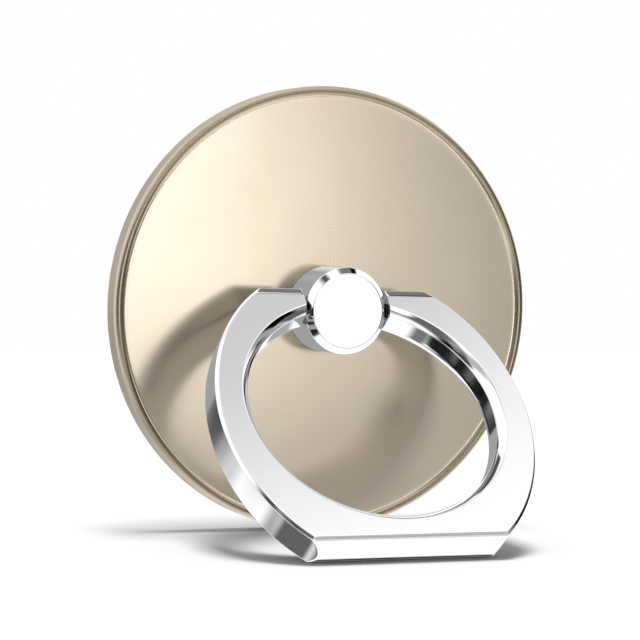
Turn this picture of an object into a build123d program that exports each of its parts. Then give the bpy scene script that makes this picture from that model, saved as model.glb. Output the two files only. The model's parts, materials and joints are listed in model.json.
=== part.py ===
from build123d import *
import os
from math import acos, atan2, cos, degrees, hypot, radians, sin, sqrt, tan

# Phone ring holder
#
# A round plate sticks to the back of a phone, a hub turns in the plate's centre, and a finger ring
# swings on a cross pin in the hub. It is modelled standing by itself: the plate on its rim and the
# ring swung forward until its foot is on the same surface.
#
# Frame: the origin is the centre of the pad's sticky face, +Y points out of that face, the ring is
# on the -Y side, +Z is up and X runs along the hinge. All sizes are in millimetres.

# Sizes of the plate
plate_diameter = 40.0
plate_thickness = 2.4        # from the back rim to the crest of the bead
bead_radius = 0.45           # rounded crest of the rim
bead_flank_angle = 35.0      # slope from the bead down to the face
bead_facets = 4              # flats that make up each quarter of the bead's round
bead_height = 0.25           # crest above the face
rim_width = 1.4              # from the side in to the pad's seat
rim_edge_chamfer = 0.2       # back corner of the rim

# Sizes of the pad and its seat
pad_thickness = 0.8
pad_proud = 0.3              # pad stands out of the back rim by this much
pad_clearance = 0.1          # radial, in the seat

# Sizes of the swivel
hub_diameter = 7.7
hub_chamfer = 0.55
spigot_diameter = 3.4
glide_washer_diameter = 7.2
glide_washer_thickness = 0.15
glide_washer_proud = 0.05    # washer stands out of its seat in the plate's face
screw_diameter = 2.0
screw_length = 2.4           # under the head
screw_head_diameter = 4.2
screw_head_thickness = 0.5
screw_tip_chamfer = 0.25
screw_hole_spare = 0.3       # hole depth past the screw's tip
driver_recess_width = 0.55   # one arm of the cross recess
driver_recess_length = 2.2
driver_recess_depth = 0.3
clamp_washer_diameter = 6.4
clamp_washer_thickness = 0.25
spring_washer_diameter = 6.0
spring_washer_thickness = 0.15
spring_washer_height = 0.3   # as clamped, over its bend
pocket_diameter = 7.4
running_clearance = 0.05     # radial, in the swivel
stack_clearance = 0.03       # along the swivel's axis, between what turns and what doesn't
fit_clearance = 0.01         # radial, where a piece is pressed or screwed into another

# Sizes of the hinge
hinge_height = 3.0           # pin's axis above the plate's face
pin_diameter = 1.1
pin_clearance = 0.03         # radial, in the sleeve
pin_engagement = 2.2         # in each end of the ring
pin_end_gap = 0.1            # past the pin's end, in the ring
pin_chamfer = 0.15
sleeve_wall = 0.25
sleeve_inset = 0.05          # sleeve's ends below the hub's side

# Sizes of the ring, measured in its own plane from the pin's axis
ring_front = 1.85            # pin's axis to the front face
ring_back = 1.7              # pin's axis to the back face
ring_gap = 0.15              # between each end of the ring and the hub
ring_top = 1.1               # pin's axis to the flats beside the hub
finger_width = 22.7          # finger opening, at the ridge inside it
finger_height = 21.2
finger_start = 0.8           # pin's axis to the opening's near side
bar_width = 3.05             # ridge to the outline, at the sides
bar_width_ends = 5.1         # the same at top and foot, before the flats are cut
outline_offset = 0.6         # outline's centre past the opening's centre
front_bevel = 0.25           # all round the front face, outline and foot alike
outline_back_chamfer = 0.4
ridge_bevel = 0.65           # front face to the ridge, in depth and in width
finger_back_radius = 1.3     # rounding from the opening to the back face
foot_depth = 3.0             # opening's far side to the lowest line of the foot
foot_radius = 2.5            # crowned foot, seen from the side
top_bevel_width = 0.75       # the front bevel is wider along the flats beside the hub

# Places worked out along the plate's axis, which runs towards -Y
plate_radius = plate_diameter / 2
seat_radius = plate_radius - rim_width
pad_radius = seat_radius - pad_clearance
back_rim_y = -pad_proud
crest_y = back_rim_y - plate_thickness
face_y = crest_y + bead_height
seat_y = -pad_thickness
hub_base_y = face_y - glide_washer_proud
glide_seat_y = hub_base_y + glide_washer_thickness
glide_seat_radius = glide_washer_diameter / 2 + running_clearance
bore_radius = spigot_diameter / 2 + running_clearance
pin_y = face_y - hinge_height
hub_front_y = pin_y - ring_front
hub_radius = hub_diameter / 2
screw_head_back_y = seat_y - stack_clearance
screw_head_front_y = screw_head_back_y - screw_head_thickness
clamp_front_y = screw_head_front_y - clamp_washer_thickness
pocket_y = clamp_front_y - spring_washer_height - 2 * stack_clearance

# Places worked out along the pin
ring_end_x = hub_radius + ring_gap
pin_half_length = ring_end_x + pin_engagement
sleeve_radius = pin_diameter / 2 + pin_clearance + sleeve_wall
sleeve_half_length = sqrt(hub_radius**2 - sleeve_radius**2) - sleeve_inset

# Places worked out in the ring's plane, from the pin's axis towards the foot
finger_half_width = finger_width / 2
finger_half_height = finger_height / 2
finger_centre = finger_start + finger_half_height
outline_centre = finger_centre + outline_offset
outline_half_width = finger_half_width + bar_width
outline_half_height = finger_half_height + bar_width_ends
foot_centre_u = finger_centre + finger_half_height + foot_depth - foot_radius
foot_centre_n = (ring_front - front_bevel - ring_back) / 2

# The ring swings out of the plate's plane until its foot is level with the plate's rim
foot_reach = hypot(foot_centre_u, foot_centre_n)
foot_angle = degrees(atan2(foot_centre_n, foot_centre_u))
ring_swing = degrees(acos((plate_radius - foot_radius) / foot_reach)) - foot_angle

# The ring's own plane: local x along the hinge, local y from the pin towards the foot,
# local z out of the ring's front face
ring_plane = Plane(
    origin=(0, pin_y, 0),
    x_dir=(-1, 0, 0),
    z_dir=(0, -cos(radians(ring_swing)), sin(radians(ring_swing))),
)

# The ring seen from its side: local x from the pin towards the foot, local y out of its front face
side_plane = Plane(
    origin=(0, pin_y, 0),
    x_dir=(0, -sin(radians(ring_swing)), -cos(radians(ring_swing))),
    z_dir=(-1, 0, 0),
)

os.makedirs("parts", exist_ok=True)


def save(piece, name):
    """Label a finished piece and write it under its own name."""
    piece.part.label = name
    export_step(piece.part, f"parts/{name}.step")


# Plate: one revolved profile, from the rim over the bead and across the face to the bore, then
# back through the pocket and the pad's seat
with BuildPart() as base_plate:
    with BuildSketch(Plane.XY):
        with BuildLine():
            bead_steps = [90 * step / bead_facets for step in range(bead_facets + 1)]
            bead_steps += [90 + bead_flank_angle / 2, 90 + bead_flank_angle]
            bead = [
                (
                    plate_radius - bead_radius + bead_radius * cos(radians(angle)),
                    crest_y + bead_radius - bead_radius * sin(radians(angle)),
                )
                for angle in bead_steps
            ]
            flank_end = bead[-1][0] - (face_y - bead[-1][1]) / tan(radians(bead_flank_angle))
            Polyline(
                (plate_radius, back_rim_y),
                *bead,
                (flank_end, face_y),
                (glide_seat_radius, face_y),
                (glide_seat_radius, glide_seat_y),
                (bore_radius, glide_seat_y),
                (bore_radius, pocket_y),
                (pocket_diameter / 2, pocket_y),
                (pocket_diameter / 2, seat_y),
                (seat_radius, seat_y),
                (seat_radius, back_rim_y),
                (plate_radius, back_rim_y),
            )
        make_face()
    revolve(axis=Axis.Y)
    rim_edges = base_plate.edges().filter_by(GeomType.CIRCLE).group_by(Axis.Y)[-1]
    chamfer(rim_edges.sort_by(SortBy.RADIUS)[-1], rim_edge_chamfer)
save(base_plate, "base_plate")

# Pad: a plain disc of foam tape in the plate's back, its sticky face at the origin
with BuildPart() as adhesive_pad:
    with BuildSketch(Plane.XZ.offset(-seat_y)):
        Circle(pad_radius)
    extrude(amount=-pad_thickness)
save(adhesive_pad, "adhesive_pad")

# Glide washer: in a shallow seat in the plate's face, so that the hub turns just clear of the face
with BuildPart() as glide_washer:
    with BuildSketch(Plane.XZ.offset(-glide_seat_y)):
        Circle(glide_washer_diameter / 2)
        Circle(bore_radius, mode=Mode.SUBTRACT)
    extrude(amount=glide_washer_thickness)
save(glide_washer, "glide_washer")

# Hub: turned boss with a spigot behind, a cross bore for the hinge and a screw hole
with BuildPart() as hub:
    with BuildSketch(Plane.XZ.offset(-hub_base_y)):
        Circle(hub_radius)
    extrude(amount=hub_base_y - hub_front_y)
    chamfer(hub.edges().group_by(Axis.Y)[0], hub_chamfer)
    with BuildSketch(Plane.XZ.offset(-hub_base_y)):
        Circle(spigot_diameter / 2)
    extrude(amount=hub_base_y - clamp_front_y)
    with BuildSketch(Plane.YZ):
        with Locations((pin_y, 0)):
            Circle(sleeve_radius + fit_clearance)
    extrude(amount=hub_radius, both=True, mode=Mode.SUBTRACT)
    with BuildSketch(Plane.XZ.offset(-clamp_front_y)):
        Circle(screw_diameter / 2 + fit_clearance)
    screw_reach = screw_length - clamp_washer_thickness
    extrude(amount=screw_reach + screw_hole_spare, mode=Mode.SUBTRACT)
save(hub, "hub")

# Friction sleeve: nylon tube that fills the hub's cross bore
with BuildPart() as friction_sleeve:
    with BuildSketch(Plane.YZ):
        with Locations((pin_y, 0)):
            Circle(sleeve_radius)
            Circle(pin_diameter / 2 + pin_clearance, mode=Mode.SUBTRACT)
    extrude(amount=sleeve_half_length, both=True)
save(friction_sleeve, "friction_sleeve")

# Hinge pin: through the sleeve, pressed into both ends of the ring
with BuildPart() as hinge_pin:
    with BuildSketch(Plane.YZ):
        with Locations((pin_y, 0)):
            Circle(pin_diameter / 2)
    extrude(amount=pin_half_length, both=True)
    chamfer(hinge_pin.edges().filter_by(GeomType.CIRCLE), pin_chamfer)
save(hinge_pin, "hinge_pin")

# Clamp washer: flat, held against the spigot by the screw
with BuildPart() as clamp_washer:
    with BuildSketch(Plane.XZ.offset(-screw_head_front_y)):
        Circle(clamp_washer_diameter / 2)
        Circle(screw_diameter / 2 + running_clearance, mode=Mode.SUBTRACT)
    extrude(amount=clamp_washer_thickness)
save(clamp_washer, "clamp_washer")

# Spring washer: a strip bent to one arc and cut to a ring, round the spigot in the pocket
with BuildPart() as spring_washer:
    bend = spring_washer_height - spring_washer_thickness
    half = spring_washer_diameter / 2
    inner_bend_radius = (half**2 - bend**2) / (2 * bend)
    bend_top_y = clamp_front_y - stack_clearance
    bend_centre_y = bend_top_y - spring_washer_thickness - inner_bend_radius
    with BuildSketch(Plane.XY):
        with Locations((0, bend_centre_y)):
            Circle(inner_bend_radius + spring_washer_thickness)
            Circle(inner_bend_radius, mode=Mode.SUBTRACT)
    extrude(amount=half, both=True)
    with BuildSketch(Plane.XZ.offset(-clamp_front_y)):
        Circle(half)
        Circle(bore_radius, mode=Mode.SUBTRACT)
    extrude(amount=clamp_front_y - pocket_y, mode=Mode.INTERSECT)
save(spring_washer, "spring_washer")

# Swivel screw: thin head with a cross recess, thread left plain
with BuildPart() as swivel_screw:
    with BuildSketch(Plane.XZ.offset(-screw_head_back_y)):
        Circle(screw_head_diameter / 2)
    extrude(amount=screw_head_thickness)
    with BuildSketch(Plane.XZ.offset(-screw_head_front_y)):
        Circle(screw_diameter / 2)
    extrude(amount=screw_length)
    chamfer(swivel_screw.edges().group_by(Axis.Y)[0], screw_tip_chamfer)
    with BuildSketch(Plane.XZ.offset(-screw_head_back_y)):
        Rectangle(driver_recess_length, driver_recess_width)
        Rectangle(driver_recess_width, driver_recess_length)
    extrude(amount=driver_recess_depth, mode=Mode.SUBTRACT)
save(swivel_screw, "swivel_screw")

# Ring: an oval bar cut to its side profile, opened for the finger and parted at the hub
with BuildPart() as finger_ring:
    across = Axis(ring_plane.origin, ring_plane.z_dir)
    with BuildSketch(ring_plane.offset(-ring_back)):
        with Locations((0, outline_centre)):
            Ellipse(outline_half_width, outline_half_height)
    extrude(amount=ring_back + ring_front)
    chamfer(finger_ring.edges().group_by(across)[-1], front_bevel)
    chamfer(finger_ring.edges().group_by(across)[0], outline_back_chamfer)
    # Side profile: flats beside the hub and the crowned foot, each with a bevelled front edge
    with BuildSketch(side_plane):
        with BuildLine():
            crown_rise = ring_front - front_bevel - foot_centre_n
            crown_start_u = foot_centre_u + sqrt(foot_radius**2 - crown_rise**2)
            crown = ThreePointArc(
                (crown_start_u, foot_centre_n + crown_rise),
                (foot_centre_u + foot_radius, foot_centre_n),
                (crown_start_u, foot_centre_n - crown_rise),
            )
            Polyline(
                crown @ 1,
                (-ring_top, -ring_back),
                (-ring_top, ring_front - front_bevel),
                (-ring_top + top_bevel_width, ring_front),
                (crown_start_u - front_bevel, ring_front),
                crown @ 0,
            )
        make_face()
    extrude(amount=outline_half_width, both=True, mode=Mode.INTERSECT)
    # Finger opening: bevelled to a ridge in front, rounded over to the back
    with BuildSketch(ring_plane.offset(-ring_back)):
        with Locations((0, finger_centre)):
            Ellipse(finger_half_width, finger_half_height)
    extrude(amount=ring_back + ring_front, mode=Mode.SUBTRACT)
    opening = finger_ring.edges().filter_by(GeomType.ELLIPSE)
    opening = opening.filter_by(lambda edge: edge.is_closed)
    chamfer(opening.sort_by(across)[-1], ridge_bevel)
    opening = finger_ring.edges().filter_by(GeomType.ELLIPSE)
    opening = opening.filter_by(lambda edge: edge.is_closed)
    fillet(opening.sort_by(across)[0], finger_back_radius)
    # Gap for the hub, and a blind bore in each end for the pin
    with BuildSketch(ring_plane.offset(-ring_back)):
        Rectangle(2 * ring_end_x, 2 * finger_centre - 2 * finger_half_height + 2 * ring_top)
    extrude(amount=ring_back + ring_front, mode=Mode.SUBTRACT)
    with BuildSketch(Plane.YZ):
        with Locations((pin_y, 0)):
            Circle(pin_diameter / 2 + fit_clearance)
    extrude(amount=pin_half_length + pin_end_gap, both=True, mode=Mode.SUBTRACT)
save(finger_ring, "finger_ring")
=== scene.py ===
# %% [markdown]
# # A phone ring holder, dressed over its CAD model
#
# The object is a round satin-gold plate, a small chrome hub in its middle and a chrome finger ring
# that swings on the hub. It stands on the plate's rim and on the ring's foot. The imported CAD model
# is the fixed frame: each new surface here sits exactly where its solid is and moves with its body.

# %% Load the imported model
import json

import bpy
import numpy as np
from mathutils import Matrix, Vector


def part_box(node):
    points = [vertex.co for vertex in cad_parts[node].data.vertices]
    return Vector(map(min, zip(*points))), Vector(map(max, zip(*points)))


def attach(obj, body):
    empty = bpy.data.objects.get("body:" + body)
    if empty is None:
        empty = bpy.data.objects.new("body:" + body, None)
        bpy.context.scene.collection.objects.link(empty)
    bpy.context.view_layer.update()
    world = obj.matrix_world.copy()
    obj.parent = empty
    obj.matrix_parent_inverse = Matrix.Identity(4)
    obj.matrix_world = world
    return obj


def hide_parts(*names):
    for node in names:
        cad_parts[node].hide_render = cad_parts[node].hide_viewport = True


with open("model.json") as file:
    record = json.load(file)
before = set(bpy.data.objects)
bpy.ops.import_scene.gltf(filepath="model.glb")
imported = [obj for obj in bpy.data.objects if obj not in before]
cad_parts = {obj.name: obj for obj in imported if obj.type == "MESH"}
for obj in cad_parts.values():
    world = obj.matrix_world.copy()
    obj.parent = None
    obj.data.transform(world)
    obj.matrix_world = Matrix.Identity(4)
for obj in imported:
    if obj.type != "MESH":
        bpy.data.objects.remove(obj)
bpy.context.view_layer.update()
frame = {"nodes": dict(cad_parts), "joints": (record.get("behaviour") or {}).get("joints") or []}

MM = 0.001
print("pieces in the frame:", sorted(frame["nodes"]))

# %% [markdown]
# ## Sizes
#
# What the frame can tell is read from it: the plate's radius, the hub's place and the hinge's line.
# The small sizes that no box shows, such as bevels, are named here in metres and are those of the
# solids. The ring's angle follows from them, because its foot stands on the plate's floor.

# %% Sizes read from the frame
plate_low, plate_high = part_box("base_plate")
pad_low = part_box("adhesive_pad")[0]
hub_low, hub_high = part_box("hub")
washer_low, washer_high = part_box("glide_washer")
pin_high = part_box("hinge_pin")[1]
hinge = next(joint for joint in frame["joints"] if joint["name"] == "ring_swing")
hinge_place = np.array(hinge["pos_m"])
floor_height = -plate_high.x
print(f"plate radius {plate_high.x / MM:.2f} mm, hinge {-hinge_place[1] / MM:.2f} mm off the phone")

# %% Small sizes of the plate and the hub
bead_radius = 0.45 * MM
bead_root_radius = 0.25 * MM
bead_height = 0.25 * MM
rim_width = 1.4 * MM
rim_chamfer = 0.2 * MM
bore_radius = 1.75 * MM
glide_seat_radius = 3.65 * MM
pocket_radius = 3.7 * MM
pocket_depth_y = -1.94 * MM
hub_chamfer = 0.55 * MM
spigot_radius = 1.7 * MM
sleeve_bore_radius = 0.84 * MM
screw_hole_radius = 1.01 * MM
screw_hole_depth = 2.45 * MM
axis_gap = 0.02 * MM
plate_steps, hub_steps, bore_steps = 288, 192, 64
print(f"bead {bead_height / MM:.2f} mm high, hub chamfer {hub_chamfer / MM:.2f} mm")

# %% Small sizes of the ring, from the pin's axis and in the ring's own plane
ring_front = 1.85 * MM
ring_back = 1.7 * MM
ring_end = 4.0 * MM
ring_top = 1.1 * MM
finger_half_width = 11.35 * MM
finger_half_height = 10.6 * MM
finger_start = 0.8 * MM
bar_width = 3.05 * MM
bar_width_ends = 5.1 * MM
outline_offset = 0.6 * MM
front_bevel = 0.25 * MM
top_bevel_width = 0.75 * MM
outline_back_chamfer = 0.4 * MM
ridge_bevel = 0.65 * MM
bevel_crown = 0.04 * MM
finger_back_radius = 1.3 * MM
foot_depth = 3.0 * MM
foot_radius = 2.5 * MM
pin_bore_radius = 0.56 * MM
edge_softness = 0.06 * MM

finger_centre = finger_start + finger_half_height
outline_centre = finger_centre + outline_offset
outline_half_width = finger_half_width + bar_width
outline_half_height = finger_half_height + bar_width_ends
foot_centre_u = finger_centre + finger_half_height + foot_depth - foot_radius
foot_centre_n = (ring_front - front_bevel - ring_back) / 2
foot_reach = np.hypot(foot_centre_u, foot_centre_n)
foot_turn = np.arctan2(foot_centre_n, foot_centre_u)
swing = np.arccos((plate_high.x - foot_radius) / foot_reach) - foot_turn
print(f"the ring is swung {np.degrees(swing):.2f} degrees forward, down to the floor")

# %% [markdown]
# ## From a grid of points to a mesh
#
# Every surface here is worked out as a whole array of points, rows by columns. One helper joins
# neighbours with quads. It can close the rows into a loop, close the columns into a loop, and end
# the grid in a pole, which is one more point with a fan of triangles round it. The signed volume
# then tells whether the faces look outwards, and they are turned round if they don't.


# %% Grid helper
def grid_mesh(name, points, loop_rows=False, loop_columns=False, poles=()):
    """Quads between neighbours of a (rows, columns, 3) grid; poles closes an end column."""
    rows, columns = points.shape[:2]
    index = np.arange(rows * columns).reshape(rows, columns)
    if loop_rows:
        index = np.vstack([index, index[:1]])
    if loop_columns:
        index = np.hstack([index, index[:, :1]])
    corners = [index[:-1, :-1], index[1:, :-1], index[1:, 1:], index[:-1, 1:]]
    faces = np.stack(corners, axis=-1).reshape(-1, 4).tolist()
    vertices = [points.reshape(-1, 3)]
    for pole in poles:
        column = 0 if pole == "first" else -1
        centre = points[:, column].mean(axis=0)
        ring = index[:, column]
        tip = np.full(len(ring) - 1, sum(len(v) for v in vertices))
        pair = [ring[1:], ring[:-1]] if pole == "first" else [ring[:-1], ring[1:]]
        faces += np.stack([*pair, tip], axis=-1).tolist()
        vertices.append(centre[None])
    vertices = np.concatenate(vertices)
    mesh = bpy.data.meshes.new(name)
    mesh.from_pydata(vertices.tolist(), [], faces)
    turn_outwards(mesh, vertices)
    return mesh


def turn_outwards(mesh, vertices):
    """Summed over triangles, a dot (b cross c) is six times the volume: flip if negative."""
    mesh.calc_loop_triangles()
    corner = np.empty(len(mesh.loop_triangles) * 3, dtype=np.int32)
    mesh.loop_triangles.foreach_get("vertices", corner)
    a, b, c = vertices[corner.reshape(-1, 3)].transpose(1, 0, 2)
    if (a * np.cross(b, c)).sum() < 0:
        mesh.flip_normals()


# %% Finishing helper
def place_piece(mesh, body, nodes, crease=35):
    """Link a mesh as a piece that rides on a body and stands for its CAD nodes."""
    mesh.polygons.foreach_set("use_smooth", np.ones(len(mesh.polygons), dtype=bool))
    mesh.set_sharp_from_angle(angle=np.radians(crease))
    mesh.update()
    piece = bpy.data.objects.new(mesh.name, mesh)
    bpy.context.scene.collection.objects.link(piece)
    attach(piece, body)
    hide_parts(*nodes)
    print(f"{mesh.name}: {len(mesh.vertices)} points, {len(mesh.polygons)} faces")
    return piece


# %% [markdown]
# ## Profiles with softened corners
#
# Nothing that is cast and plated has a razor edge, and on chrome the softened edge is what draws
# the thin light and dark lines. A profile is written as its corners, and each corner then gives way
# to a short curve that starts and ends a softness away from it.


# %% Profile helpers
def soften(corners, softness, steps=5):
    """Each inner corner P becomes (1-t)(1-t)A + 2t(1-t)P + ttB, with A and B on its two sides.

    One more point a little outside A and one outside B hold the flats flat when they are shaded.
    """
    corners = np.asarray(corners, dtype=float)
    before, here, after = corners[:-2], corners[1:-1], corners[2:]
    back = np.linalg.norm(before - here, axis=-1, keepdims=True)
    ahead = np.linalg.norm(after - here, axis=-1, keepdims=True)
    start = (before - here) * np.minimum(softness / back, 0.4)
    end = (after - here) * np.minimum(softness / ahead, 0.4)
    t = np.linspace(0, 1, steps + 1)[None, :, None]
    curve = here[:, None] + (1 - t) ** 2 * start[:, None] + t**2 * end[:, None]
    held = [(here + 1.2 * start)[:, None], curve, (here + 1.2 * end)[:, None]]
    return np.vstack([corners[:1], np.concatenate(held, axis=1).reshape(-1, 2), corners[-1:]])


def arc(centre, radius, start, end, steps):
    """Centre plus radius times the cosine and sine of an angle that runs from start to end."""
    angle = np.radians(np.linspace(start, end, steps + 1))
    return np.asarray(centre) + radius * np.stack([np.cos(angle), np.sin(angle)], axis=-1)


def turned(profile, steps):
    """Carry an (r, y) profile round the Y axis: x = r cos a, z = r sin a."""
    angle = np.linspace(0, 2 * np.pi, steps, endpoint=False)
    radius, along = profile[:, 0, None], profile[:, 1, None]
    return np.stack(
        [radius * np.cos(angle), along + 0 * angle, radius * np.sin(angle)], axis=-1
    )


# %% [markdown]
# ## The plate
#
# The plate is a casting that was turned clean: a flat face, a small rounded bead round the rim with
# a soft hollow inside it, a plain side, and behind it a seat for the pad and a pocket for the
# swivel. All of that is one closed profile carried round the plate's axis.

# %% Plate
plate_radius = plate_high.x
crest_y = plate_low.y
back_rim_y = plate_high.y
face_y = crest_y + bead_height
seat_y = pad_low.y
seat_radius = plate_radius - rim_width
bead_angle = np.degrees(np.arccos(1 - bead_height / (bead_radius + bead_root_radius)))
bead_centre = (plate_radius - bead_radius, crest_y + bead_radius)
bead_reach = (bead_radius + bead_root_radius) * np.sin(np.radians(bead_angle))
root_centre = (bead_centre[0] - bead_reach, face_y - bead_root_radius)
bead = arc(bead_centre, bead_radius, 0, -90 - bead_angle, 28)
root = arc(root_centre, bead_root_radius, 90 - bead_angle, 90, 12)
front_of_plate = np.vstack([bead, root])
behind_plate = soften(
    [
        (root_centre[0] - 0.3 * MM, face_y),
        (glide_seat_radius, face_y),
        (glide_seat_radius, washer_high.y),
        (bore_radius, washer_high.y),
        (bore_radius, pocket_depth_y),
        (pocket_radius, pocket_depth_y),
        (pocket_radius, seat_y),
        (seat_radius, seat_y),
        (seat_radius, back_rim_y),
        (plate_radius - rim_chamfer, back_rim_y),
        (plate_radius, back_rim_y - rim_chamfer),
        (plate_radius, bead_centre[1] + 0.05 * MM),
    ],
    edge_softness,
)
plate_profile = np.vstack([front_of_plate, behind_plate])
plate_mesh = grid_mesh("plate_shell", turned(plate_profile, plate_steps), True, True)
place_piece(plate_mesh, "plate", ["base_plate"])

# %% [markdown]
# ## The hub
#
# The hub is a turned boss. Its front is flat and bare, its front edge is bevelled, and a spigot
# goes back through the plate. The hinge's cross bore is cut with a boolean, because a round hole in
# a round wall is a shape that a plain grid of rows and columns can't follow.

# %% Hub
hub_radius = hub_high.x
hub_front_y = hub_low.y
hub_base_y = washer_low.y
spigot_end_y = hub_high.y
hub_profile = soften(
    [
        (axis_gap, hub_front_y),
        (hub_radius - hub_chamfer, hub_front_y),
        (hub_radius, hub_front_y + hub_chamfer),
        (hub_radius, hub_base_y),
        (spigot_radius, hub_base_y),
        (spigot_radius, spigot_end_y),
        (screw_hole_radius, spigot_end_y),
        (screw_hole_radius, spigot_end_y - screw_hole_depth),
        (axis_gap, spigot_end_y - screw_hole_depth),
    ],
    edge_softness,
)
hub_points = turned(hub_profile, hub_steps).transpose(1, 0, 2)
hub_solid = grid_mesh("hub_solid", hub_points, True, False, ("first", "last"))


def cut_cross_bore(mesh, radius, length, place):
    """Take a round bar along X out of the mesh and give back the cut mesh."""
    rim = np.array([(radius, -length), (radius, length)])
    bar_points = turned(rim, bore_steps)[..., [1, 0, 2]] + place
    bar_mesh = grid_mesh("bar", bar_points.transpose(1, 0, 2), True, False, ("first", "last"))
    bar = bpy.data.objects.new("bar", bar_mesh)
    body = bpy.data.objects.new("body", mesh)
    for piece in (bar, body):
        bpy.context.scene.collection.objects.link(piece)
    cut = body.modifiers.new("cross_bore", "BOOLEAN")
    cut.object = bar
    cut.operation = "DIFFERENCE"
    cut.solver = "EXACT"
    bpy.context.view_layer.update()
    graph = bpy.context.evaluated_depsgraph_get()
    result = bpy.data.meshes.new_from_object(body.evaluated_get(graph))
    for piece in (bar, body):
        bpy.data.objects.remove(piece)
    result.name = "hub_shell"
    return result


hub_mesh = cut_cross_bore(hub_solid, sleeve_bore_radius, hub_radius + 1 * MM, hinge_place)
place_piece(hub_mesh, "swivel", ["hub"])

# %% [markdown]
# ## The finger ring
#
# Seen square on, the ring is an ellipse cut off flat at the foot and beside the hub. Seen in
# section, its front is flat with a fine bevel outside and a wide bevel inside, down to a crisp
# ridge, and its back is rounded. So the surface is a loop of rows round the bar, and each row runs
# from one end of the ring to the other. A row knows its depth and how far it lies inside the wall.
# The columns turn each corner of the outline at the same place in every row, which keeps the
# corners of the foot crisp all the way through.
#
# Local places are (x, u, n): x along the hinge, u from the pin to the foot, n out of the front.


# %% Rows of the ring
def outer_rows():
    """(depth, inset) from the back face over its chamfer, up the wall and over the front bevel."""
    back = soften(
        [
            (outline_back_chamfer + 3 * edge_softness, -ring_back),
            (outline_back_chamfer, -ring_back),
            (0, -ring_back + outline_back_chamfer),
            (0, -ring_back + outline_back_chamfer + 3 * edge_softness),
        ],
        2 * edge_softness,
    )
    wall = np.linspace(back[-1, 1], ring_front - front_bevel - 3 * edge_softness, 12)[1:]
    wall = np.stack([0 * wall, wall], axis=-1)
    front = soften(
        [
            (0, wall[-1, 1]),
            (0, ring_front - front_bevel),
            (front_bevel, ring_front),
            (front_bevel + 3 * edge_softness, ring_front),
        ],
        edge_softness,
    )
    rows = np.vstack([back, wall[:-1], front])
    return rows[:, 1], rows[:, 0]


def inner_rows():
    """(depth, growth) from the front face down the wide bevel, over the ridge and round the back.

    The wide bevel is polished a little round: with s from -1 to 1 across it, a point on it stands
    out by the crown times one less s squared.
    """
    middle = ridge_bevel * np.linspace(0.88, 0.12, 9)
    bevel = np.stack([middle, ring_front - ridge_bevel + middle], axis=-1)
    edges = soften(
        [
            (ridge_bevel + 3 * edge_softness, ring_front),
            (ridge_bevel, ring_front),
            (0, ring_front - ridge_bevel),
            (0, ring_front - ridge_bevel - 3 * edge_softness),
        ],
        edge_softness,
    )
    half = len(edges) // 2
    front = np.vstack([edges[:half], bevel, edges[half:]])
    across = 1 - 2 * np.clip(front[:, 0] / ridge_bevel, 0, 1)
    lift = bevel_crown * (1 - across**2) * (front[:, 1] > ring_front - ridge_bevel)
    front += lift[:, None] * np.array([-1, 1]) / np.sqrt(2)
    wall = np.linspace(front[-1, 1], -ring_back + finger_back_radius, 6)[1:-1]
    wall = np.stack([0 * wall, wall], axis=-1)
    back = arc(
        (finger_back_radius, -ring_back + finger_back_radius), finger_back_radius, 180, 270, 20
    )
    rows = np.vstack([front, wall, back])
    return rows[:, 1], rows[:, 0]


outer_depth, outer_inset = outer_rows()
inner_depth, inner_growth = inner_rows()
print(f"ring: {len(outer_depth)} outer rows and {len(inner_depth)} inner rows")


# %% Outline of the ring
def ellipse(centre, half_width, half_height, angle):
    """x = half width times cos, u = centre + half height times sin, for rows by columns."""
    return np.stack([half_width * np.cos(angle), centre + half_height * np.sin(angle)], axis=-1)


def bend(start, corner, end, steps=5):
    """(1-t)(1-t)A + 2t(1-t)P + ttB for every row at once."""
    t = np.linspace(0, 1, steps + 1)[None, :, None]
    return (1 - t) ** 2 * start[:, None] + 2 * t * (1 - t) * corner[:, None] + t**2 * end[:, None]


def outline(depth, inset):
    """Right half of the outer curve in each row: flat, corner, ellipse, corner, half the foot."""
    in_front = depth > ring_front - front_bevel
    top_u = -ring_top + np.where(in_front, inset * top_bevel_width / front_bevel, 0)
    rise = np.clip(depth, -ring_back, ring_front - front_bevel) - foot_centre_n
    crown_u = foot_centre_u + np.sqrt(foot_radius**2 - rise**2)
    foot_u = crown_u - np.where(in_front, inset, 0)
    half_width = (outline_half_width - inset)[:, None]
    half_height = (outline_half_height - inset)[:, None]
    top_angle = np.arcsin((top_u[:, None] - outline_centre) / half_height)
    foot_angle = np.arcsin((foot_u[:, None] - outline_centre) / half_height)
    soft = 2 * edge_softness / half_height

    def along(angle):
        return ellipse(outline_centre, half_width, half_height, angle)

    share = np.linspace(0, 1, 171)[None]
    side = along((top_angle + soft) * (1 - share) + (foot_angle - soft) * share)
    top_corner, foot_corner = along(top_angle)[:, 0], along(foot_angle)[:, 0]
    step = np.array([2 * edge_softness, 0])
    top_end = np.stack([np.full(len(depth), ring_end + edge_softness), top_u], axis=-1)
    share = np.linspace(0, 1, 24)[None, :-1, None]
    flat = top_end[:, None] * (1 - share) + (top_corner - step)[:, None] * share
    middle = np.stack([np.zeros(len(depth)), foot_u], axis=-1)
    share = np.linspace(0, 1, 33)[None, 1:, None]
    foot = (foot_corner - step)[:, None] * (1 - share) + middle[:, None] * share
    top_bend = bend(top_corner - step, top_corner, side[:, 0])
    foot_bend = bend(side[:, -1], foot_corner, foot_corner - step)
    return np.concatenate([flat, top_bend, side[:, 1:-1], foot_bend, foot], axis=1)


def both_halves(half):
    """The half, then its mirror image from the middle of the foot back to the other end."""
    other = half[:, -2::-1] * np.array([-1, 1])
    return np.concatenate([half, other], axis=1)


outer = both_halves(outline(outer_depth, outer_inset))
print("columns round the ring:", outer.shape[1])

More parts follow.
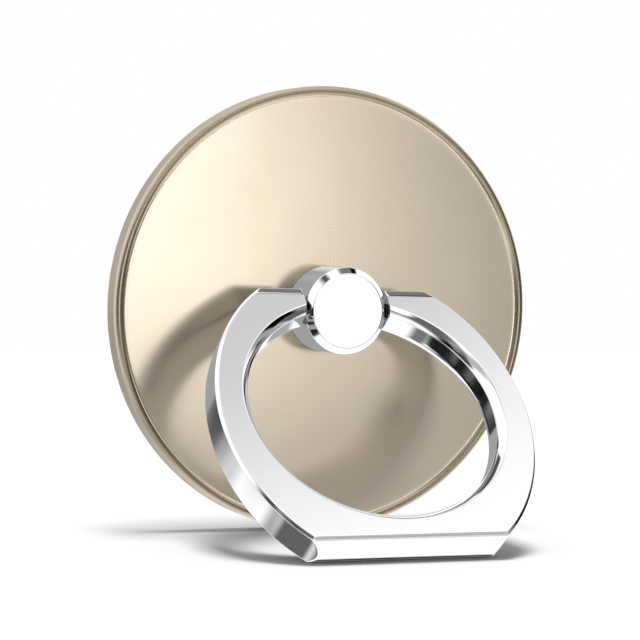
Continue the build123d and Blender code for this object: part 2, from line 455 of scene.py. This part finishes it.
# %% Finger opening, with its columns in line with the outline's
middle_row = np.argmin(np.abs(outer_depth))
spread = outer[middle_row] - np.array([0, finger_centre])
turn = np.unwrap(np.arctan2(spread[:, 1], spread[:, 0]))
share = (turn - turn[0]) / (turn[-1] - turn[0])
inner_half_width = (finger_half_width + inner_growth)[:, None]
inner_half_height = (finger_half_height + inner_growth)[:, None]
first = -np.arccos((ring_end + edge_softness) / inner_half_width)
inner_angle = first + share[None] * (np.pi - 2 * first)
inner = ellipse(finger_centre, inner_half_width, inner_half_height, inner_angle)
print(f"opening {2 * finger_half_width / MM:.1f} by {2 * finger_half_height / MM:.1f} mm")


# %% Section loop of the ring
def with_depth(flat, depth):
    """Add the row's depth to every point of the row."""
    depth = np.broadcast_to(np.asarray(depth)[:, None, None], (*flat.shape[:2], 1))
    return np.concatenate([flat, depth], axis=-1)


def between(start, end, shares):
    """Straight rows from one row to another, at the given shares of the way."""
    shares = np.asarray(shares)[:, None, None]
    return start[None] * (1 - shares) + end[None] * shares


outer_grid = with_depth(outer, outer_depth)
inner_grid = with_depth(inner, inner_depth)
face_shares = [0.02, 0.25, 0.5, 0.75, 0.98]
front_face = between(outer_grid[-1], inner_grid[0], face_shares)
back_face = between(inner_grid[-1], outer_grid[0], face_shares)
ring_loop = np.concatenate([outer_grid, front_face, inner_grid, back_face])
print("rows round the section:", len(ring_loop))


# %% Ends of the ring, each with a blind bore for the pin
def end_columns(loop, side):
    """From a loop at the end: over its soft edge, across the end face and down the pin's bore."""
    reach = np.linalg.norm(loop[:, 1:], axis=-1, keepdims=True)
    towards = loop[:, 1:] / reach
    columns = []
    for angle in np.radians([30, 60, 90]):
        shrink = edge_softness * (1 - np.cos(angle))
        x = ring_end + edge_softness * (1 - np.sin(angle))
        columns.append((x, towards * (reach - shrink)))
    bore = towards * pin_bore_radius
    columns.append((ring_end, columns[-1][1] * 0.5 + bore * 0.5))
    columns.append((ring_end, bore * 1.03))
    columns.append((ring_end, bore))
    bore_end = pin_high.x + 0.1 * MM
    columns.append((ring_end + 0.02 * MM, bore))
    columns.append((bore_end - 0.02 * MM, bore))
    columns.append((bore_end, bore))
    grids = [np.hstack([np.full((len(flat), 1), side * x), flat]) for x, flat in columns]
    return np.stack(grids, axis=1)


right_end = end_columns(ring_loop[:, 0], 1)[:, ::-1]
left_end = end_columns(ring_loop[:, -1], -1)
local = np.concatenate([right_end, ring_loop, left_end], axis=1)
print("columns with both ends:", local.shape[1])

# %% Swing the ring into place
towards_foot = np.array([0, -np.sin(swing), -np.cos(swing)])
out_of_front = np.array([0, -np.cos(swing), np.sin(swing)])
axes = np.stack([np.array([1, 0, 0]), towards_foot, out_of_front])
ring_mesh = grid_mesh("ring_shell", hinge_place + local @ axes, True, False, ("first", "last"))
place_piece(ring_mesh, "ring", ["finger_ring"])

# %% [markdown]
# ## Shader maths as expressions
#
# A material is a graph of nodes. Writing it as Python expressions keeps it readable: a small class
# wraps a socket, its operators add Math nodes, and one method adds any other node.


# %% Shader helpers
class Wire:
    """A socket that can be used in expressions."""

    def __init__(self, tree, socket):
        self.tree = tree
        self.socket = socket

    def maths(self, operation, *others):
        return add_node(self.tree, "Math", {"operation": operation}, [self, *others])

    def __add__(self, other):
        return self.maths("ADD", other)

    def __radd__(self, other):
        return self.maths("ADD", other)

    def __sub__(self, other):
        return self.maths("SUBTRACT", other)

    def __rsub__(self, other):
        return add_node(self.tree, "Math", {"operation": "SUBTRACT"}, [other, self])

    def __mul__(self, other):
        return self.maths("MULTIPLY", other)

    def __rmul__(self, other):
        return self.maths("MULTIPLY", other)


def add_node(tree, kind, settings=(), inputs=(), output=0):
    """Add a node: settings first, then inputs by number or by name; give back one output."""
    node = tree.nodes.new("ShaderNode" + kind)
    for key, value in dict(settings).items():
        setattr(node, key, value)
    pairs = inputs.items() if isinstance(inputs, dict) else enumerate(inputs)
    for key, value in pairs:
        if isinstance(value, Wire):
            tree.links.new(value.socket, node.inputs[key])
        else:
            node.inputs[key].default_value = value
    return Wire(tree, node.outputs[output]) if node.outputs else node


def new_material(name):
    """An empty material and its node tree."""
    material = bpy.data.materials.new(name)
    material.use_nodes = True
    material.node_tree.nodes.clear()
    return material, material.node_tree


def finish_material(tree, shader):
    """Link the shader to the material's output."""
    add_node(tree, "OutputMaterial", {}, [shader])


def grey(value):
    """A grey colour from one number."""
    return (value, value, value, 1)


# %% [markdown]
# ## Chrome
#
# Bright chrome is a mirror with almost no colour. What makes it real is not in the mirror but in
# its faults: the plating follows the casting's faint waviness, and polishing leaves hairlines that
# spread each reflection by a trace. Both are too small to model, so they are roughness and bump.


# %% Chrome
chrome_colour = (0.9, 0.905, 0.92, 1)


def chrome():
    """Metal with a slow waviness, fine hairlines and a trace of uneven polish."""
    material, tree = new_material("bright_chrome")
    place = add_node(tree, "TexCoord", {}, {}, "Object")
    wave = add_node(tree, "TexNoise", {}, {"Vector": place, "Scale": 420, "Detail": 1.5}, "Fac")
    stretched = add_node(tree, "Mapping", {}, {"Vector": place, "Scale": (1, 9, 9)})
    hair = add_node(tree, "TexNoise", {}, {"Vector": stretched, "Scale": 2600, "Detail": 3}, "Fac")
    polish = add_node(tree, "TexNoise", {}, {"Vector": place, "Scale": 160, "Detail": 3}, "Fac")
    height = 0.8 * wave + 0.02 * hair
    bump = add_node(tree, "Bump", {}, {"Height": height, "Strength": 0.06, "Distance": 0.00004})
    roughness = 0.02 + 0.05 * polish
    shader = add_node(
        tree,
        "BsdfPrincipled",
        {},
        {"Base Color": chrome_colour, "Metallic": 1, "Roughness": roughness, "Normal": bump},
    )
    finish_material(tree, shader)
    return material


chrome_finish = chrome()
print("chrome nodes:", len(chrome_finish.node_tree.nodes))

# %% [markdown]
# ## Satin gold
#
# The plate is blasted with fine beads before it is plated, so its gold is satin: it still mirrors
# what is near, but blurred. The blasting is a fine even grain in the bump, and the blur is the
# roughness, with a slow unevenness that keeps it from looking like plastic.


# %% Gold
gold_colour = (0.77, 0.668, 0.532, 1)
# Painted shade: a dark brown line along the bead, where the hollow beside it is shaded.
painted_bead_shade_colour = (0.33, 0.27, 0.19, 1)
# Painted shade: the plate's side is a darker gold, as the rim looks in shade.
painted_side_shade_colour = (0.61, 0.525, 0.425, 1)
painted_bead_shade_width = 0.45 * MM


def satin_gold():
    """Champagne metal with a blasted grain, a painted dark line along the bead and a darker side.

    The dark line is painted shade, which stands in for the shadow of the hollow by the bead: its
    share is a soft bump over the radius, 1 on the bead and 0 a line's width away. The side's share
    rises from 0 to 1 between the bead's crest and the plate's side; there the gold is painted darker
    as shade, and it is rougher.
    """
    material, tree = new_material("satin_gold")
    place = add_node(tree, "TexCoord", {}, {}, "Object")
    flat = add_node(tree, "Mapping", {}, {"Vector": place, "Scale": (1, 0, 1)})
    radius = add_node(tree, "VectorMath", {"operation": "LENGTH"}, [flat], "Value")
    grain = add_node(tree, "TexNoise", {}, {"Vector": place, "Scale": 9000, "Detail": 2}, "Fac")
    slow = add_node(tree, "TexNoise", {}, {"Vector": place, "Scale": 120, "Detail": 2}, "Fac")
    bump = add_node(tree, "Bump", {}, {"Height": grain, "Strength": 0.03, "Distance": 0.00001})
    smooth = {"interpolation_type": "SMOOTHSTEP"}
    # The dark line along the bead is painted shade.
    away = (radius - float(plate_radius - bead_radius)).maths("ABSOLUTE")
    painted_bead_shade = add_node(tree, "MapRange", smooth, {0: away, 1: painted_bead_shade_width, 2: 0.2 * painted_bead_shade_width})
    # Towards the plate's side the gold is painted darker as shade, and made rougher.
    side = {0: radius, 1: plate_radius - 0.3 * MM, 2: plate_radius - 0.05 * MM}
    side = add_node(tree, "MapRange", smooth, side)
    mix = {"data_type": "RGBA"}
    gold = add_node(tree, "Mix", mix, {0: painted_bead_shade, 6: gold_colour, 7: painted_bead_shade_colour}, 2)
    gold = add_node(tree, "Mix", mix, {0: side, 6: gold, 7: painted_side_shade_colour}, 2)
    roughness = 0.2 + 0.06 * slow + 0.2 * side
    shader = add_node(
        tree,
        "BsdfPrincipled",
        {},
        {"Base Color": gold, "Metallic": 1, "Roughness": roughness, "Normal": bump},
    )
    finish_material(tree, shader)
    return material


gold_finish = satin_gold()
print("gold nodes:", len(gold_finish.node_tree.nodes))


# %% Small pieces: steel, nylon and foam
def small_finish(name, colour, metallic, low, high, scale, depth):
    """A plain finish: roughness from low to high over a noise, and the same noise as bump."""
    material, tree = new_material(name)
    place = add_node(tree, "TexCoord", {}, {}, "Object")
    noise = add_node(tree, "TexNoise", {}, {"Vector": place, "Scale": scale, "Detail": 4}, "Fac")
    bump = add_node(tree, "Bump", {}, {"Height": noise, "Strength": 0.5, "Distance": depth})
    roughness = low + (high - low) * noise
    shader = add_node(
        tree,
        "BsdfPrincipled",
        {},
        {"Base Color": colour, "Metallic": metallic, "Roughness": roughness, "Normal": bump},
    )
    finish_material(tree, shader)
    return material


steel_finish = small_finish("plain_steel", grey(0.55), 1, 0.2, 0.45, 3000, 0.00001)
nylon_finish = small_finish("nylon", (0.78, 0.76, 0.7, 1), 0, 0.4, 0.6, 2500, 0.00001)
foam_finish = small_finish("foam", grey(0.03), 0, 0.7, 0.95, 5000, 0.00004)
print("small finishes:", steel_finish.name, nylon_finish.name, foam_finish.name)

# %% Give every piece its finish
finishes = {
    "plate_shell": gold_finish,
    "hub_shell": chrome_finish,
    "ring_shell": chrome_finish,
    "adhesive_pad": foam_finish,
    "glide_washer": nylon_finish,
    "friction_sleeve": nylon_finish,
    "swivel_screw": steel_finish,
    "clamp_washer": steel_finish,
    "spring_washer": steel_finish,
    "hinge_pin": steel_finish,
}
for name, finish in finishes.items():
    slots = bpy.data.objects[name].data.materials
    slots.clear()
    slots.append(finish)
print(len(finishes), "pieces have their finish")

# %% [markdown]
# ## Floor
#
# The object stands on a sheet of plain white card that is lit until it burns out to white, as in a
# product photograph. A wide soft lamp hangs well above it, and a dimmer light comes from all round,
# so what stands on the card keeps a soft shadow where it touches. The mirrors don't show the card
# or the lamp: what they show is the surround, which is set up by direction below.
#
# At the ring's lower limit the foot reaches about 5 mm below the plate's rim. The part then can't
# stand on this card, and the card hides the foot.

# %% Floor
floor_mesh = bpy.data.meshes.new("floor")
reach = 0.28
corners = [(-reach, -reach), (reach, -reach), (reach, reach), (-reach, reach)]
floor_mesh.from_pydata([(x, y, floor_height) for x, y in corners], [], [(0, 1, 2, 3)])
floor = bpy.data.objects.new("floor", floor_mesh)
bpy.context.scene.collection.objects.link(floor)
floor.visible_glossy = False
floor_material, tree = new_material("white_floor")
shader = add_node(tree, "BsdfPrincipled", {}, {"Base Color": grey(0.9), "Roughness": 0.8})
finish_material(tree, shader)
floor_mesh.materials.append(floor_material)
print(f"floor card {2 * reach:.2f} m wide at z {floor_height / MM:.1f} mm")

# %% Overhead soft light
lamp_data = bpy.data.lights.new("soft_light", "AREA")
lamp_data.shape = "RECTANGLE"
lamp_data.size = 0.6
lamp_data.size_y = 0.8
lamp_data.energy = 33
lamp = bpy.data.objects.new("soft_light", lamp_data)
lamp.location = (0, -0.05, 2.0)
lamp.visible_glossy = False
bpy.context.scene.collection.objects.link(lamp)
print(f"lamp of {lamp_data.energy:.0f} W, {lamp_data.size:.1f} by {lamp_data.size_y:.2f} m")

# %% [markdown]
# ## Surround
#
# Chrome has no look of its own: it is a picture of the room. A photographer gives it white all
# round and then sets up black and grey cards, so that the bevels and walls get dark bands and stand
# out. Here each card is a soft-edged box in azimuth and elevation, in degrees. Azimuth 0 is behind
# the object, 90 to its right and 180 in front; elevation is up from the horizon.
#
# How could such a set of cards be found? Each bevel and wall mirrors one narrow range of
# directions into the camera, so a card is put where a dark band is wanted. Here the cards were set
# against the photograph: its brightness was read where the ring and the hub mirror a given
# direction, and the render was compared with it. So they suit the front view best, and from the
# side the chrome is plainer.
#
# Four things are not as in a real room. The camera sees plain white behind the object. The floor
# and other matt surfaces get a dimmer, even light. Light that has met two mirrors is dimmed and
# a little brown, which stands for the corner between ring, hub and plate. And light that would
# reach the floor by way of the chrome is nearly cut, so the shadows stay quiet.


# %% Cards
world = bpy.data.worlds.new("surround")
bpy.context.scene.world = world
world.use_nodes = True
world.node_tree.nodes.clear()
world.cycles.sampling_method = "NONE"
tree = world.node_tree
direction = add_node(tree, "TexCoord", {}, {}, "Generated")
parts = add_node(tree, "SeparateXYZ", {}, [direction]).socket.node.outputs
east, north, height = [Wire(tree, part) for part in parts]
azimuth = east.maths("ARCTAN2", north) * float(np.degrees(1))
elevation = height.maths("ARCSINE") * float(np.degrees(1))


def card(light, centre, half_size, soft, colour, tilt=0.0):
    """Blend the light to the card's colour where the direction lies on the card.

    With a and b the distances from the card's centre along its own two sides, the share is the
    product of two smooth steps, each from 1 to 0 as the distance passes the half size, over
    twice the softness.
    """
    sideways = add_node(
        tree, "Math", {"operation": "WRAP"}, [azimuth - centre[0], 180.0, -180.0]
    )
    upwards = elevation - centre[1]
    cosine, sine = float(np.cos(np.radians(tilt))), float(np.sin(np.radians(tilt)))
    along = sideways * cosine + upwards * sine
    across = upwards * cosine - sideways * sine
    share = 1.0
    for distance, half in zip((along, across), half_size):
        values = {0: distance.maths("ABSOLUTE"), 1: half + soft, 2: half - soft}
        share = share * add_node(tree, "MapRange", {"interpolation_type": "SMOOTHSTEP"}, values)
    colour = (*colour, 1) if isinstance(colour, tuple) else grey(colour)
    return add_node(tree, "Mix", {"data_type": "RGBA"}, {0: share, 6: light, 7: colour}, 2)


# %% Surround
# centre, half size, softness, light, tilt; a later card covers an earlier one
cards = [
    # in front
    ((148, 0), (42, 14), 8, 0.3, 0),
    ((176, 1.5), (17.5, 5), 1.5, 2.7, 0),
    ((156.2, -1.8), (2.4, 2), 0.8, 1.25, 0),
    ((154, -20), (12, 3.5), 3, 0.46, 0),
    # high up on the right
    ((118, 71), (24, 12), 5, 0.67, 14),
    ((98, 71), (30, 5), 4, 0.2, 27),
    ((38, 50), (12, 8), 4, 0.55, 0),
    ((47, 58), (9, 6), 3, 0.2, 0),
    ((73, 59.5), (17, 5), 2, 0.0, 0),
    # on the right
    ((43, 9), (16, 11), 5, 0.5, 0),
    ((98, 5), (9, 24), 6, 0.38, 0),
    ((76, -1), (18, 8), 4, 0.0, 0),
    ((120, -10), (10, 6), 3, 0.12, 0),
    ((116, 14), (11, 17), 3, 0.0, 0),
    # in front and to the left
    ((-129, 24), (9, 13), 5, 0.52, 0),
    ((-151, 4), (21, 14), 5, 0.14, 0),
    ((-123, 5), (8, 9), 3, 0.08, 0),
    ((-138, 56), (16, 15), 4, 0.1, 0),
    ((-140, 10), (5, 6), 4, 0.36, 0),
    ((-131, -9), (9, 10), 4, 0.0, 0),
    ((-141, -42), (14, 10), 4, 0.02, 0),
    ((-97, -43), (21, 9), 3, 0.01, 0),
    ((-114, -5), (6, 9), 3, 0.01, 0),
    # behind
    ((0, -1), (28, 27), 5, (0.37, 0.37, 0.38), 0),
    ((25, 16), (10, 10), 6, 0.8, 0),
    ((31, -32), (8, 14), 6, 0.03, 0),
    ((44, -22), (7, 9), 3, 0.42, 0),
    # behind and to the left
    ((-35, -15), (7, 6), 3, 0.7, 0),
    ((-44, -45), (7, 7), 3, 0.42, 0),
    ((-56, -66), (15, 5), 3, 0.2, 0),
    ((-56, -31), (5, 8), 3, 0.03, 0),
    ((-26, -6), (13, 3), 2, 0.04, 30),
    ((-51, -33), (29, 3.2), 2, 0.01, 61),
    ((-65, -60), (8, 3), 2, 0.01, 61),
    ((-50, -52), (7, 7.5), 1.5, 0.13, 0),
    # high up behind
    ((-14, 57), (24, 6.5), 3, 0.08, 0),
]
light = grey(1.15)
for centre, half_size, soft, colour, tilt in cards:
    light = card(light, centre, half_size, soft, colour, tilt)
print(len(cards), "cards stand round the object")

# %% What each kind of ray sees
seen_by_camera = grey(1.0)
seen_by_matt = grey(0.45)
after_two_mirrors = (0.36, 0.34, 0.31, 1)
by_way_of_chrome = grey(0.03)
glossy = add_node(tree, "LightPath", {}, {}, "Is Glossy Ray")
diffuse = add_node(tree, "LightPath", {}, {}, "Is Diffuse Ray")
plain = {0: diffuse, 6: seen_by_camera, 7: seen_by_matt}
plain = add_node(tree, "Mix", {"data_type": "RGBA"}, plain, 2)
depth = add_node(tree, "LightPath", {}, {}, "Ray Depth")
second = {0: depth.maths("GREATER_THAN", 2.5), 6: light, 7: after_two_mirrors}
light = add_node(tree, "Mix", {"data_type": "RGBA", "blend_type": "MULTIPLY"}, second, 2)
spread = add_node(tree, "LightPath", {}, {}, "Diffuse Depth").maths("GREATER_THAN", 0.5)
light = add_node(tree, "Mix", {"data_type": "RGBA"}, {0: spread, 6: light, 7: by_way_of_chrome}, 2)
mixed = add_node(tree, "Mix", {"data_type": "RGBA"}, {0: glossy, 6: plain, 7: light}, 2)
backdrop = add_node(tree, "Background", {}, {"Color": mixed, "Strength": 1.0})
add_node(tree, "OutputWorld", {}, [backdrop])
print("surround nodes:", len(tree.nodes))

# %% What the mirrors leave out
# On the real thing the chrome mirrors some gold. Here it shows the cards alone, so that every band
# on it can be set.
left_out = ("plate_shell", "adhesive_pad", "glide_washer", "clamp_washer", "spring_washer")
for name in left_out:
    bpy.data.objects[name].visible_glossy = False
print("not seen in the mirrors:", *left_out)

# %% Camera
camera_place = Vector((-74.246, -176.484, 6.43)) * MM
yaw, pitch, roll = np.radians([22.929, 2.257, 1.902])
focal_pixels = 2100
image_width = 640
camera_data = bpy.data.cameras.new("camera")
camera_data.sensor_width = 36
camera_data.lens = focal_pixels / image_width * camera_data.sensor_width
camera_data.clip_start = 0.01
camera = bpy.data.objects.new("camera", camera_data)
bpy.context.scene.collection.objects.link(camera)
ahead = Vector((np.sin(yaw) * np.cos(pitch), np.cos(yaw) * np.cos(pitch), -np.sin(pitch)))
level = Vector((np.cos(yaw), -np.sin(yaw), 0))
upright = level.cross(ahead)
right = level * np.cos(roll) + upright * np.sin(roll)
up = upright * np.cos(roll) - level * np.sin(roll)
turned_axes = Matrix((right, up, -ahead)).transposed().to_4x4()
camera.matrix_world = Matrix.Translation(camera_place) @ turned_axes
bpy.context.scene.camera = camera
bpy.context.scene.view_settings.view_transform = "Standard"
print(f"camera {camera_place.length:.3f} m away, lens {camera_data.lens:.0f} mm")
